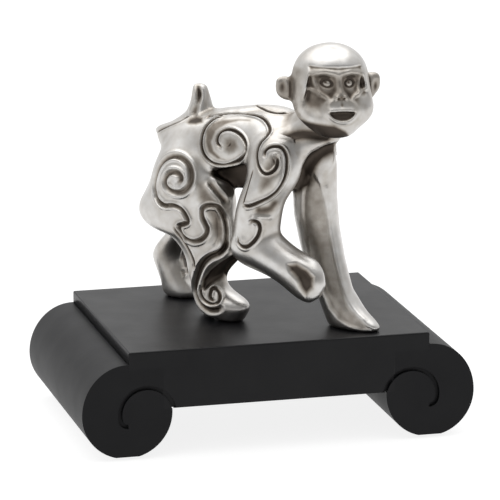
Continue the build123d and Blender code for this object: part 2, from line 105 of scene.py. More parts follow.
# Clay: signed distance fields on voxels
BAND = 4.0
BODY_VOXEL = 0.55
HEAD_VOXEL = 0.24
GROOVE_REACH = 1.2


def join(a, b, soft):
    """Union of two fields with a fillet of about that radius."""
    near = np.clip(soft - np.abs(a - b), 0, None) / soft
    return np.minimum(a, b) - near * near * soft / 4


def soften(field, reach):
    """Field blurred twice by a box of the given reach in voxels, along each axis."""
    for axis in range(3):
        moved = np.moveaxis(field, axis, 0)
        for _ in range(2):
            padded = np.pad(moved, [(reach + 1, reach), (0, 0), (0, 0)], mode="edge")
            run = np.cumsum(padded, axis=0, dtype=np.float32)
            moved = (run[2 * reach + 1:] - run[:-2 * reach - 1]) / (2 * reach + 1)
        field = np.moveaxis(moved, 0, axis)
    return np.ascontiguousarray(field)


class Clay:
    """A voxel block in which the metal is modelled; the field is negative inside the metal."""

    def __init__(self, low, high, voxel):
        self.voxel = voxel
        self.start = np.floor(np.array(low) / voxel).astype(int)
        self.size = np.ceil(np.array(high) / voxel).astype(int) - self.start
        self.field = np.full(self.size, BAND, np.float32)

    def node(self, name, close=0.0):
        """Field of a CAD node, with grooves narrower than twice the closing reach filled."""
        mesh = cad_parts[name].data
        mesh.calc_loop_triangles()
        points = np.empty(len(mesh.vertices) * 3, np.float32)
        mesh.vertices.foreach_get("co", points)
        corners = np.empty(len(mesh.loop_triangles) * 3, np.int32)
        mesh.loop_triangles.foreach_get("vertices", corners)
        settings = {
            "transform": vdb.createLinearTransform(voxelSize=self.voxel), "halfWidth": BAND / self.voxel,
        }
        grid = vdb.FloatGrid.createLevelSetFromPolygons(
            points.reshape(-1, 3) / np.float32(MM),
            triangles=corners.reshape(-1, 3).astype(np.uint32),
            **settings,
        )
        if close:
            points, quads = grid.convertToQuads(close)
            grid = vdb.FloatGrid.createLevelSetFromPolygons(points, quads=quads, **settings)
        return self.array(grid) + np.float32(close)

    def array(self, grid):
        """Values of a grid over the block."""
        field = np.empty(self.size, np.float32)
        grid.copyToArray(field, ijk=tuple(int(i) for i in self.start))
        return field

    def block(self, low, high):
        """Slices of the block between two points, and the world points of its voxels."""
        first = np.clip(np.floor(low / self.voxel).astype(int) - self.start, 0, self.size)
        last = np.clip(np.ceil(high / self.voxel).astype(int) - self.start, 0, self.size)
        steps = [np.arange(a, b) + s for a, b, s in zip(first, last, self.start)]
        points = np.stack(np.meshgrid(*steps, indexing="ij"), axis=-1).astype(np.float32) * self.voxel
        return tuple(slice(a, b) for a, b in zip(first, last)), points

    def oval(self, centre, radii, axes, soft):
        """Ellipsoid with its radii along the three axes given."""
        reach = max(radii) + soft + 1
        where, points = self.block(centre - reach, centre + reach)
        local = (points - centre) @ np.array(axes).T
        first = np.linalg.norm(local / radii, axis=-1)
        second = np.linalg.norm(local / np.square(radii), axis=-1)
        shape = (first * (first - 1) / np.maximum(second, 1e-5)).astype(np.float32)
        self.field[where] = join(self.field[where], shape, soft)

    def cord(self, points, radii, soft):
        """Round cord through points, its radius changing from each to the next."""
        points = np.array(points)
        reach = max(radii) + soft + 1
        where, voxels = self.block(points.min(axis=0) - reach, points.max(axis=0) + reach)
        shape = np.full(voxels.shape[:3], BAND, np.float32)
        for a, b, ra, rb in zip(points, points[1:], radii, radii[1:]):
            part = np.clip((voxels - a) @ (b - a) / ((b - a) @ (b - a)), 0, 1)
            gap = np.linalg.norm(voxels - a - part[..., None] * (b - a), axis=-1) - (ra + part * (rb - ra))
            shape = np.minimum(shape, gap)
        self.field[where] = join(self.field[where], shape, soft)

    def sample(self, field, points):
        """Field's value at world points."""
        place = points / self.voxel - self.start
        low = np.clip(np.floor(place).astype(int), 0, self.size - 2)
        part = place - low
        value = np.zeros(len(points))
        for corner in np.ndindex(2, 2, 2):
            weight = np.prod(np.where(corner, part, 1 - part), axis=1)
            value += weight * field[tuple((low + corner).T)]
        return value

    def surface(self):
        """Points and quads of the clay's surface."""
        grid = vdb.FloatGrid(BAND)
        grid.copyFromArray(self.field, ijk=tuple(int(i) for i in self.start))
        grid.transform = vdb.createLinearTransform(voxelSize=self.voxel)
        points, quads = grid.convertToQuads()
        return points.astype(float), quads.astype(int)


def vertex_normals(points, quads):
    """Unit normals of the points of a quad mesh."""
    across = points[quads[:, 2]] - points[quads[:, 0]]
    along = points[quads[:, 3]] - points[quads[:, 1]]
    faces = np.cross(across, along)
    total = np.stack([
        np.bincount(quads.ravel(), np.repeat(faces[:, axis], 4), len(points)) for axis in range(3)
    ], axis=1)
    return total / np.maximum(np.linalg.norm(total, axis=1, keepdims=True), 1e-9)


def relax(points, quads, rounds):
    """Points moved to the mean of their neighbours, there and back, so that the size stays."""
    pairs = np.concatenate([quads[:, [i, (i + 1) % 4]] for i in range(4)])
    count = np.maximum(np.bincount(pairs[:, 0], minlength=len(points)), 1)[:, None]
    for step in [0.5, -0.52] * rounds:
        mean = np.stack([
            np.bincount(pairs[:, 0], points[pairs[:, 1], axis], len(points)) for axis in range(3)
        ], axis=1) / count
        points = points + step * (mean - points)
    return points


# The body: all the castings but the head, joined with fillets as the solder and polish leave them
BODY = ["torso", "tail", "right_arm", "left_arm", "right_leg", "left_leg"]
boxes = [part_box(name) for name in BODY]
body = Clay(
    np.min([np.array(low) for low, high in boxes], axis=0) / MM - 4,
    np.max([np.array(high) for low, high in boxes], axis=0) / MM + 4,
    BODY_VOXEL,
)
own = {name: soften(body.node(name, GROOVE_REACH), 1) for name in BODY}


def polygon_gap(spots, corners):
    """Distance of flat points from a polygon's outline, negative inside it."""
    gap = np.full(spots.shape[:-1], 1e9)
    inside = np.zeros(spots.shape[:-1], bool)
    for a, b in zip(corners, corners[1:] + corners[:1]):
        a, b = np.array(a, float), np.array(b, float)
        part = np.clip((spots - a) @ (b - a) / ((b - a) @ (b - a)), 0, 1)
        gap = np.minimum(gap, np.linalg.norm(spots - a - part[..., None] * (b - a), axis=-1))
        crosses = (spots[..., 1] < a[1]) != (spots[..., 1] < b[1])
        slope = (b[0] - a[0]) / (b[1] - a[1]) if b[1] != a[1] else 0.0
        inside ^= crosses & (spots[..., 0] < a[0] + slope * (spots[..., 1] - a[1]))
    return np.where(inside, -gap, gap)


def mirrored(points):
    """Points on the other side of the monkey's middle plane."""
    return points - 2 * ((points - FIGURE) @ LEFT)[..., None] * LEFT


def carve(field, corners, low, high, depth=30.0, turn=None, soft=0.8):
    """Cuts a field along the sight lines through an outline of the main view, to a depth on the left."""
    turn = turn or (lambda points: points)
    ends = turn(np.array([low, high]))
    where, voxels = body.block(ends.min(axis=0) - 8, ends.max(axis=0) + 8)
    near = turn(voxels)
    prism = np.maximum(polygon_gap(picture(near), corners) * PIXEL, (near - FIGURE) @ LEFT - depth)
    field[where] = -join(-field[where], prism.astype(np.float32), soft)


# The flanks end in a sharp lower edge with the belly drawn in under it, and the chest is cut back under
# the neck
BELLY = [
    (207, 172), (214, 169), (230, 167), (244, 163.5), (254, 164), (260, 172), (254, 186), (240, 191),
    (234, 192), (229, 185.5), (221, 181), (212, 177.5),
]
ARMPIT = [(340, 142), (326, 144.5), (310, 153), (300, 165), (292, 184), (288, 200), (318, 200), (336, 170)]
HOCK = [(138, 224), (169, 230), (161.5, 238), (155, 246.5), (153, 252), (138, 254)]
HAND_END = [
    (300, 245), (318, 260), (324, 272), (326, 285), (321, 297), (312, 302), (312, 310), (345, 310),
    (345, 245),
]
HEEL = [
    (187, 268), (191, 282), (193.4, 295), (197, 305), (202, 311), (209, 316.4), (220.7, 321),
    (228, 323), (228, 330), (176, 330), (176, 268),
]
carve(own["torso"], BELLY, walk(-20, -18, 38), walk(16, -4, 66), -6.0)
carve(own["torso"], BELLY, walk(-20, -18, 38), walk(16, -4, 66), -6.0, mirrored)
carve(own["torso"], ARMPIT, walk(12, -18, 38), walk(42, 4, 70), 3.0)
carve(own["left_leg"], HOCK, walk(-52, 0, 8), walk(-30, 18, 32))
carve(own["right_arm"], HAND_END, walk(18, -12, 8), walk(46, -12, 36))
carve(own["right_leg"], HEEL, walk(-24, -10, 0), walk(4, -10, 14))

trunk = join(own["torso"], own["tail"], 1.6)
body.field = np.min([join(trunk, own[name], 2.0) for name in BODY[2:]], axis=0)
SIDE_AXES = [AHEAD, LEFT, UP]
body.oval(walk(16.0, -11.0, 57.5), [8.6, 7.5, 10.5], SIDE_AXES, 4.0)
body.oval(walk(20.0, 9.0, 57.0), [8.0, 7.5, 10.0], SIDE_AXES, 4.0)
body.oval(walk(-21.0, -8.5, 50.5), [11.0, 9.0, 9.5], SIDE_AXES, 4.0)
body.oval(walk(-22.0, 8.0, 50.5), [11.0, 8.5, 9.5], SIDE_AXES, 4.0)
body.oval(walk(-8.8, -10.2, 41.5), [7.4, 6.2, 6.8], SIDE_AXES, 2.5)
body.cord([walk(22.3, 8.5, 59), walk(21.2, 9, 50), walk(20.8, 9, 38)], [5.0, 6.0, 6.2], 4.0)
body.cord([
    walk(-21.5, 0, 68.5), walk(-27.5, 0, 66.0), walk(-33, 0, 62.8), walk(-38.6, 0, 60.0),
], [2.2, 1.9, 1.6, 1.2], 2.2)
ARM_EDGE = [
    (347, 132), (341, 139), (335.5, 145), (335.5, 152), (337, 165), (337.5, 195), (340, 225),
    (345, 255), (353, 288), (369, 312), (384, 328), (400, 328), (400, 132),
]
TAIL_BACK = [
    (186, 80), (190.8, 84), (191.2, 95), (190.3, 100), (188.3, 106), (186, 110), (181, 114.5),
    (172, 120.5), (160, 124), (160, 80),
]
carve(body.field, TAIL_BACK, walk(-40, 0, 60), walk(-14, 0, 84), soft=1.5)
carve(body.field, ARM_EDGE, walk(10, 8, 0), walk(50, 8, 72), soft=2.5)
body.field = soften(body.field, 1)
points, quads = body.surface()


def refine(points, quads):
    """Each quad split into four."""
    sides = np.sort(np.concatenate([quads[:, [i, (i + 1) % 4]] for i in range(4)]), axis=1)
    edges, places = np.unique(sides, axis=0, return_inverse=True)
    mids = places.reshape(4, -1).T + len(points)
    centres = np.arange(len(quads)) + len(points) + len(edges)
    grown = np.concatenate([points, points[edges].mean(axis=1), points[quads].mean(axis=1)])
    split = [np.stack([quads[:, i], mids[:, i], centres, mids[:, i - 1]], axis=1) for i in range(4)]
    return grown, np.concatenate(split)


points = relax(points, quads, 3)
points, quads = refine(points, quads)
points = relax(points, quads, 4)
normals = vertex_normals(points, quads)
owners = np.argmin([body.sample(own[name], points) for name in BODY], axis=0)

# Relief. Strokes and hollows are drawn in the main view, on the side that it shows, and most of them are
# repeated on the other side.
triangles = np.concatenate([quads[:, [0, 1, 2]], quads[:, [0, 2, 3]]])
skin = BVHTree.FromPolygons(points.tolist(), triangles.tolist())


def curve(spots, step=0.6):
    """Smooth run of points through the spots given."""
    spots = np.array(spots, float)
    ends = np.concatenate([[2 * spots[0] - spots[1]], spots, [2 * spots[-1] - spots[-2]]])
    run = []
    for a, b, c, d in zip(ends, ends[1:], ends[2:], ends[3:]):
        for t in np.arange(0, 1, step / max(np.linalg.norm(c - b), step)):
            run.append(b + 0.5 * t * (c - a + t * (2 * a - 5 * b + 4 * c - d + t * (3 * (b - c) + d - a))))
    return np.array(run + [spots[-1]])


def on_skin(spots):
    """Points of the surface that the main view shows at the spots."""
    aims = [-BACK * FOCUS + (across - 250) * RIGHT + (250 - down) * RISE for across, down in spots]
    hits = [skin.ray_cast(Vector(EYE), Vector(aim))[0] for aim in aims]
    return np.array([hit for hit in hits if hit is not None])


def ease(value, low, high):
    """Smooth step from 0 at low to 1 at high."""
    share = np.clip((value - low) / (high - low), 0, 1)
    return share * share * (3 - 2 * share)


class Skin:
    """The vertices as one side shows them: moved to the near side, with the relief gathered on them."""

    def __init__(self, places, normals, used, spots, unit, flat):
        self.places, self.normals, self.used = places, normals, used
        self.spots, self.unit, self.flat = spots, unit, flat
        self.lift = np.zeros(len(places))
        self.tarnish_and_shade = np.zeros(len(places))
        self.worn = np.zeros(len(places))

    def stroke(self, spots, width, depth, rim=0.3, tarnish_and_shade=1.0, halo=0.3, taper=2.0, owner=None):
        """Groove with raised rims along a stroke, dark in its floor and with a halo of tarnish beside it;
        where a stroke marks a shaded crease, its darkness is painted shade.
        """
        spots = curve(spots)
        way = spots * self.unit if self.flat else on_skin(spots)
        places = self.spots * self.unit if self.flat else self.places
        reach = 5 * width
        box = np.all((places > way.min(axis=0) - reach) & (places < way.max(axis=0) + reach), axis=1)
        facing = self.normals @ BACK
        chosen = box & (facing > -0.35) & self.used & (True if owner is None else np.isin(owners, owner))
        chosen = np.flatnonzero(chosen)
        run = np.concatenate([[0], np.cumsum(np.linalg.norm(np.diff(way, axis=0), axis=1))])
        for group in np.array_split(chosen, max(1, len(chosen) // 4000)):
            offset = places[group][:, None] - way[None]
            square = np.einsum("ijk,ijk->ij", offset, offset)
            if not self.flat:
                along_normal = np.einsum("ijk,ik->ij", offset, self.normals[group])
                square = np.where(np.abs(along_normal) > 5, 1e6, square - along_normal ** 2)
            nearest = square.argmin(axis=1)
            gap = np.sqrt(np.maximum(square[np.arange(len(group)), nearest], 0))
            end = np.minimum(run[nearest], run[-1] - run[nearest])
            fade = np.clip(0.25 + end / taper, 0, 1) * ease(facing[group], -0.35, 0.0)
            groove = np.exp(-((gap / width) ** 2)) * fade
            ridge = np.exp(-(((gap - 1.9 * width) / (0.7 * width)) ** 2)) * fade
            self.lift[group] += rim * ridge - depth * groove
            around = halo * np.exp(-((gap / (3.2 * width)) ** 2)) * fade
            shade = np.maximum(tarnish_and_shade * groove, around - 0.4 * ridge)
            self.tarnish_and_shade[group] = np.maximum(self.tarnish_and_shade[group], shade)
            raised = groove if depth < 0 else np.minimum(2 * rim, 1) * ridge
            self.worn[group] = np.maximum(self.worn[group], raised)

    def hollow(self, corners, depth, edge=1.2, tarnish_and_shade=0.6, owner=None):
        """Shallow pocket with a polygonal outline, its floor reached over the edge's width."""
        facing = self.normals @ BACK
        box = np.all((self.spots > np.min(corners, axis=0)) & (self.spots < np.max(corners, axis=0)), axis=1)
        chosen = box & (facing > -0.4) & self.used & (True if owner is None else np.isin(owners, owner))
        chosen = np.flatnonzero(chosen)
        share = ease(-polygon_gap(self.spots[chosen], corners) * self.unit, 0, edge)
        self.lift[chosen] -= depth * share * ease(facing[chosen], 0.0, 0.25)
        shade = tarnish_and_shade * share * ease(facing[chosen], -0.4, -0.1)
        self.tarnish_and_shade[chosen] = np.maximum(self.tarnish_and_shade[chosen], shade)

    def mound(self, spot, radius, height):
        """Small round knob."""
        gap = np.linalg.norm(self.places - on_skin([spot])[0], axis=1)
        self.lift += np.where(self.used, height * np.exp(-((gap / radius) ** 2)), 0)


TORSO, TAIL, NEAR_ARM, FAR_ARM, NEAR_LEG, FAR_LEG = range(6)
BAND_LINE = [
    (208, 117), (221, 115), (234, 114.4), (247, 114.6), (257, 116), (264, 119.4), (268.6, 125),
    (270, 131), (267, 136.6), (261.4, 142.6), (258, 150), (257.4, 158), (259, 166.4), (263, 172.6),
    (268, 174), (274, 170.8), (277.4, 165.4), (277.6, 159.6), (275.4, 156),
]
RING_LINE = [
    (222, 116.2), (213, 120.5), (206, 127.5), (202.6, 136), (202, 146), (205, 155), (212, 162),
    (221, 164.6), (230, 164), (238.5, 160.8), (244.5, 155.5), (247, 149), (245.6, 142), (241.5, 135.6),
    (235, 131), (228, 129.6), (221.6, 132), (218, 137.6), (218, 143.4), (220.6, 147),
]
RIBBON = [
    (204, 130), (212, 121.5), (222, 118), (240, 117.5), (252, 118.5), (251, 122.5), (238, 122.5),
    (226, 126), (217, 132), (213, 142), (215, 150), (222, 157), (230, 159.5), (226, 162), (216, 160),
    (207, 153), (204, 142),
]
HIP_CURL = [
    (178, 183.5), (180.8, 178.5), (178.7, 174.2), (174.2, 172), (169.2, 173), (165.8, 176.7),
    (164.7, 181.7), (166.7, 187.5), (171.7, 191.5), (177.5, 193), (183.3, 191.7), (188.3, 186.7),
    (190.8, 180.8), (191.2, 173), (188.5, 164.5), (182, 158), (174, 156), (166, 159), (160, 166),
    (156.4, 176), (155, 186), (156.4, 196), (160, 202), (165, 205.6),
]
HIP_WAVE = [
    (156.4, 196), (160, 202), (165, 205.6), (174, 205.8), (182, 210), (187, 218), (187.4, 222.4),
    (183.5, 224.4), (179, 226.5), (181.7, 234), (186.7, 239), (193.3, 241.7), (200.8, 240),
    (205.8, 235), (207.5, 229), (205, 223), (202.5, 217.5), (201.7, 211.7), (203.3, 208),
    (207.5, 205.8), (213.3, 205.8), (219, 208), (224, 216.7), (226.7, 226.7), (227, 236.7),
    (225, 246.7), (219, 253.3),
]
SHIN_LINE = [
    (226, 240), (225, 246.7), (219, 253.3), (210, 257.5), (203.3, 263.3), (199, 271.7), (195.8, 281.7),
    (195, 290), (197.5, 298.3), (201.7, 305.8), (208.3, 310), (215, 310.3), (220.8, 308.3),
]
FOOT_CURL = [
    (200.8, 287), (200.8, 293.3), (204, 300), (210, 304), (216.7, 303.3), (220, 298), (219, 291.7),
    (215, 288), (211.5, 290), (210, 295.5), (211.7, 300), (214.5, 300.5),
]
SLEEVE_LINE = [
    (264.4, 156), (265, 151.6), (268.6, 148), (274, 146.4), (280, 147), (284.6, 151), (287, 158.6),
    (286.6, 170), (284, 180), (278, 190), (270, 197), (260, 202), (250, 206), (243.5, 206),
]
ELBOW_CURL = [
    (250, 223.5), (252.5, 221), (256, 221.4), (259, 224.4), (260, 229.5), (258, 236), (253.5, 242),
    (247.5, 246.6), (242.6, 246.6), (239, 243), (237.6, 238),
]
RING_HEART = [(225, 147.4), (229, 145), (230.4, 140)]
RING_FLOOR = [(222, 137), (230, 134), (238, 138), (240.5, 147), (236, 154), (228, 157), (222, 152)]
SLEEVE_FLOOR = [
    (262, 160), (270, 152), (280, 150), (285, 160), (283, 175), (275, 190), (262, 198), (254, 196),
    (256, 178),
]
THIGH_FRONT = [
    (190, 176), (205, 178), (216, 192), (230, 206), (229, 244), (214, 252), (204, 216), (194, 202),
]
SLEEVE_BACK = [(253, 170), (249.5, 182), (246, 194), (243, 204.5)]
SHOULDER_HEART = [(273, 157), (275.3, 163), (274.5, 169)]
BELLY_RIM = [(210, 177.5), (220, 181.5), (229, 185.5), (233, 191), (232.5, 199)]
THIGH_FOLD = [(208.6, 180.7), (211.5, 185), (215, 189.5), (221, 196.5), (228, 203.6)]
CALF_LINE = [(174, 228), (183.3, 240.8), (190, 251.7), (194, 261.7), (194.5, 268)]
SHIN_HOLLOW = [
    (243, 249), (246, 257), (235, 271), (225, 280), (213, 285.5), (204, 293), (199.5, 289), (202, 279),
    (209, 270), (219, 262), (231, 255),
]
KNEE_HOLLOW = [
    (213, 207), (219, 211), (223, 222), (222, 236), (217, 247), (210, 246), (214, 236), (214, 220),
]
# Painted shade in the armpit, between the chest and the planted arm
ARMPIT_SHADE = [(335, 147), (321, 152), (311, 160), (305, 172), (301, 186)]
CUFF_SHADE = [(254, 210), (262, 211), (271, 208.5), (277.5, 200)]
CUFF_RIM = [(249.5, 221.5), (253, 217.6), (259, 217), (266, 217.5), (273, 217.5)]
ELBOW_KNOB = (243.5, 240.5)
PALM = [
    (285, 263), (297, 260.5), (308.5, 267), (317, 276.5), (315.5, 289.5), (305.5, 300), (298, 290),
    (294, 280.5), (287, 272.5),
]
PLANTED_FLAT = [
    (302, 184), (307, 174), (314, 172), (322, 184), (328, 208), (332.5, 240), (337, 262), (342, 282),
    (347, 297), (349, 304), (356, 313), (366, 322), (376, 331), (362, 332.5), (348, 327), (336, 319),
    (327, 308), (324, 300), (321, 290), (312, 272), (305, 255), (302, 235), (300, 215), (300, 195),
]
PLANTED_RIM = [
    (326, 184), (329, 215), (333, 240), (337.5, 262), (343, 284), (348, 300), (357, 313), (367, 322),
]
FAR_SHIN_SHADE = [(180, 246), (186, 250), (191, 262), (192, 274), (186, 277), (182, 264)]
FAR_LEG_SHADE = [(150, 236), (178, 236), (192, 262), (190, 292), (166, 292), (156, 265)]
TAIL_GROOVE = [(197, 85), (199, 92), (199, 98), (197.4, 104)]
TAIL_FOLD = [(197.4, 104), (195, 110), (193, 116)]
TAIL_FOOT = [(183, 123), (188, 116.5), (196, 113), (205, 116), (204, 124), (196, 126.5), (188, 126)]
TAIL_SHADE = [(205.5, 117.5), (209, 116), (212.5, 115.3)]
RUMP_LINE = [(190, 115), (182, 120.5), (172, 125), (163, 129), (158, 131.5)]
NAPE_LINE = [(255, 104.5), (262, 108.5), (270, 112), (280, 113.5), (288, 113)]
# Painted shade across the neck under the chin, in a shallow groove
THROAT_SHADE = [(279, 140), (290, 137), (303, 134.5), (316, 136), (332, 138)]


def engrave(side, far):
    """The scroll curls and hollows of one side."""
    leg, arm = (FAR_LEG, FAR_ARM) if far else (NEAR_LEG, NEAR_ARM)
    flank = [TORSO, leg, arm]
    side.stroke(BAND_LINE, 0.42, 0.6, 0.45, owner=flank)
    side.stroke(RING_LINE, 0.45, 0.65, 0.5, owner=flank)
    side.stroke(RING_HEART, 0.5, 0.3, 0.0, tarnish_and_shade=0.7, owner=flank)
    side.hollow(RIBBON, 0.1, 1.2, 0.42, TORSO)
    side.hollow(RING_FLOOR, 0.2, 2.0, 0.4, TORSO)
    side.hollow(SLEEVE_FLOOR, 0.0, 3.5, 0.4, [TORSO, arm])
    side.stroke(HIP_CURL, 0.8, 0.85, 0.45, tarnish_and_shade=0.6, owner=flank)
    side.stroke(HIP_WAVE[:5] if far else HIP_WAVE, 0.6, 0.75, 0.4, tarnish_and_shade=0.65, owner=flank)
    side.hollow(THIGH_FRONT, 0.0, 3.5, 0.45, leg)
    side.stroke(SLEEVE_LINE, 0.48, 0.65, 0.4, owner=flank)
    side.stroke(SLEEVE_BACK, 0.3, 0.25, 0.1, halo=0.1, owner=flank)
    side.stroke(SHOULDER_HEART, 0.7, 0.7, 0.1, owner=flank)
    # Painted shade on the belly, drawn in under the flank's edge
    side.hollow(BELLY, 0.0, 1.0, 0.8, TORSO)
    side.stroke(BELLY_RIM, 0.9, -0.4, 0.0, 0.0, 0.0, owner=[TORSO, leg])
    if far:
        return
    side.stroke(THIGH_FOLD, 0.9, 0.6, 0.2, tarnish_and_shade=0.6, owner=leg)
    side.stroke(SHIN_LINE, 0.9, 1.1, 0.4, tarnish_and_shade=0.75, owner=leg)
    side.stroke(FOOT_CURL, 0.5, 0.6, 0.3, owner=leg)
    side.stroke(CALF_LINE, 0.5, 0.5, 0.3, owner=leg)
    side.hollow(SHIN_HOLLOW, 1.5, 1.6, 0.95, leg)
    # Tarnish and painted shade in the knee hollow
    side.hollow(KNEE_HOLLOW, 0.5, 2.2, 0.5, leg)
    # Painted shade in the armpit
    side.stroke(ARMPIT_SHADE, 2.2, 0.3, 0.0, owner=[TORSO, FAR_ARM])
    side.stroke(CUFF_SHADE, 1.6, 0.3, 0.0, tarnish_and_shade=0.6, owner=arm)
    side.stroke(CUFF_RIM, 0.9, -0.45, 0.0, 0.0, 0.0, owner=arm)
    side.stroke(ELBOW_CURL, 0.5, 0.65, 0.45, owner=arm)
    side.mound(ELBOW_KNOB, 1.3, 0.5)
    side.hollow(PALM, 1.3, 2.6, 0.85, arm)
    side.hollow(PLANTED_FLAT, 0.65, 1.6, 0.28, [FAR_ARM, TORSO])
    side.stroke(PLANTED_RIM, 0.8, -0.35, 0.0, 0.0, 0.0, owner=FAR_ARM)
    side.hollow(FAR_SHIN_SHADE, 0.3, 1.5, 0.75, FAR_LEG)
    side.hollow(FAR_LEG_SHADE, 0.0, 3.0, 0.12, FAR_LEG)
    side.stroke(TAIL_GROOVE, 0.8, 0.9, 0.3, taper=4.0, owner=[TAIL, TORSO])
    side.stroke(TAIL_FOLD, 1.0, 0.5, 0.2, tarnish_and_shade=0.5, owner=[TAIL, TORSO])
    side.hollow(TAIL_FOOT, 0.3, 2.0, 0.8, [TAIL, TORSO])
    side.stroke(TAIL_SHADE, 1.2, 0.2, 0.0, tarnish_and_shade=0.7, owner=[TAIL, TORSO])
    side.stroke(RUMP_LINE, 0.45, 0.45, 0.25, owner=TORSO)
    side.stroke(NAPE_LINE, 0.35, 0.35, 0.15, owner=TORSO)
    # Painted shade under the chin
    side.stroke(THROAT_SHADE, 1.9, 0.7, 0.0, tarnish_and_shade=0.85, owner=TORSO)


NEAR_LEG_AT = np.array([
    (0, -7.2, 9.9), (3, -7.2, 11), (5.9, -6.8, 11.3), (9, -9.8, 8.8), (13, -12.2, 6.9), (18, -11.2, 8.2),
    (23.3, -10.3, 11.6), (28.1, -13.9, 14.3), (32.3, -19.6, 19), (36, -20.4, 19), (40.8, -19.5, 17.7),
    (46.6, -19.2, 14.8), (51.9, -19.7, 11), (54.9, -20.3, 8.4), (57.8, -20.8, 5.3),
]).T
FAR_LEG_AT = np.array([
    (0, -34.6, 6.3), (3.6, -35.6, 6.9), (9, -38.6, 5.8), (15.9, -39.8, 6.3), (22.7, -34.8, 6.2),
    (30.4, -31.5, 8.1), (39.5, -27.7, 10.3), (46.6, -24.9, 10.3), (53.1, -22.9, 8.7), (60, -21.1, 4.8),
]).T


def far_to_near(points):
    """Points of the far side moved to their match on the near side, with the leg's stride taken out."""
    height = points[:, 2] - TOP
    along = (points - FIGURE) @ AHEAD
    leg_gap = body.sample(own["left_leg"], points) - body.sample(own["torso"], points)
    of_leg = 1 / (1 + np.exp(leg_gap / 1.5))
    far_middle, far_reach = (np.interp(height, FAR_LEG_AT[0], row) for row in FAR_LEG_AT[1:])
    near_middle, near_reach = (np.interp(height, NEAR_LEG_AT[0], row) for row in NEAR_LEG_AT[1:])
    matched = near_middle + (along - far_middle) / far_reach * near_reach
    return mirrored(points) + (of_leg * (matched - along))[:, None] * AHEAD


middle = (points - FIGURE) @ LEFT
near = Skin(points, normals, np.full(len(points), True), picture(points), PIXEL, False)
engrave(near, False)
far_normals = normals - 2 * (normals @ LEFT)[:, None] * LEFT
shown = (middle > 0.5) & (far_normals @ BACK > 0.0)
moved = far_to_near(points)
far = Skin(moved, far_normals, shown, picture(moved), PIXEL, True)
engrave(far, True)

# The far shin and foot, drawn in lengths along the walk and above the board
FAR_SHIN_LINE = [
    (-24, 44), (-21.6, 38), (-23.5, 32.5), (-28, 28.5), (-32, 24), (-35.5, 19), (-39, 14), (-41.5, 9.5),
    (-41, 5.5), (-37.5, 3), (-33.5, 3.2),
]
FAR_FOOT_CURL = [
    (-38.5, 11.5), (-39, 8.3), (-37.5, 5.7), (-34.8, 5.4), (-33, 7.2), (-33.8, 9.3), (-36, 9.3),
    (-36.6, 7.7), (-35.4, 7),
]
FAR_SHIN_HOLLOW = [
    (-24.5, 30), (-29, 25.5), (-33, 20), (-36, 14), (-34, 12), (-31, 17), (-28, 22.5), (-24, 26.5),
]
profile = np.stack([(points - FIGURE) @ AHEAD, points[:, 2] - TOP], axis=1)
shin = Skin(points, far_normals, shown, profile, 1.0, True)
shin.stroke(FAR_SHIN_LINE, 0.7, 0.8, 0.4, tarnish_and_shade=0.75, owner=FAR_LEG)
shin.stroke(FAR_FOOT_CURL, 0.4, 0.5, 0.3, owner=FAR_LEG)
shin.hollow(FAR_SHIN_HOLLOW, 0.8, 1.2, 0.8, FAR_LEG)
turned = ease(far_normals @ BACK, 0.0, 0.5) * ease(middle, 0.5, 2.5)
lift = near.lift + turned * (far.lift + shin.lift)
# Darkening of each vertex: tarnish in grooves and hollows, and painted shade where some strokes and hollows
# stand for shade
tarnish_and_shade = np.maximum(near.tarnish_and_shade, turned * np.maximum(far.tarnish_and_shade, shin.tarnish_and_shade))
worn = np.maximum(near.worn, turned * np.maximum(far.worn, shin.worn))
points = points + normals * lift[:, None]
normals = vertex_normals(points, quads)
hollow = body.sample(soften(body.field, 3) - body.field, points)
deep = body.sample(soften(body.field, 9) - body.field, points)
pooled = np.clip(-hollow * 1.5, 0, 0.5) + np.clip(-deep * 0.2, 0, 0.25)
tarnish_and_shade = np.clip(np.maximum(tarnish_and_shade, 0) + pooled, 0, 1)
tarnish_and_shade *= 1 - 0.8 * worn


# Materials
def material(name):
    """New node material, its tree and its Principled shader."""
    made = bpy.data.materials.new(name)
    made.use_nodes = True
    return made, made.node_tree, made.node_tree.nodes["Principled BSDF"]


def noise(tree, scale, detail, coordinates):
    """Noise texture at a scale in the object's own coordinates."""
    made = tree.nodes.new("ShaderNodeTexNoise")
    made.inputs["Scale"].default_value = scale
    made.inputs["Detail"].default_value = detail
    tree.links.new(coordinates, made.inputs["Vector"])
    return made.outputs["Fac"]


def ramp(tree, source, stops):
    """Colour ramp through stops of position and colour."""
    made = tree.nodes.new("ShaderNodeValToRGB")
    made.color_ramp.elements[0].position, made.color_ramp.elements[0].color = stops[0][0], (*stops[0][1], 1)
    made.color_ramp.elements[1].position, made.color_ramp.elements[1].color = stops[-1][0], (*stops[-1][1], 1)
    for place, colour in stops[1:-1]:
        made.color_ramp.elements.new(place).color = (*colour, 1)
    tree.links.new(source, made.inputs["Fac"])
    return made.outputs["Color"]


def spread(tree, source, low, high, start=0.0):
    """Source from the start to 1 mapped to the range given."""
    made = tree.nodes.new("ShaderNodeMapRange")
    made.inputs["From Min"].default_value = start
    made.inputs["To Min"].default_value = low
    made.inputs["To Max"].default_value = high
    tree.links.new(source, made.inputs["Value"])
    return made.outputs["Result"]


def bump(tree, shader, source, strength, depth):
    """Bump from a height source."""
    made = tree.nodes.new("ShaderNodeBump")
    made.inputs["Strength"].default_value = strength
    made.inputs["Distance"].default_value = depth
    tree.links.new(source, made.inputs["Height"])
    tree.links.new(made.outputs["Normal"], shader.inputs["Normal"])


def own_place(tree):
    """Coordinates on the object."""
    return tree.nodes.new("ShaderNodeTexCoord").outputs["Object"]


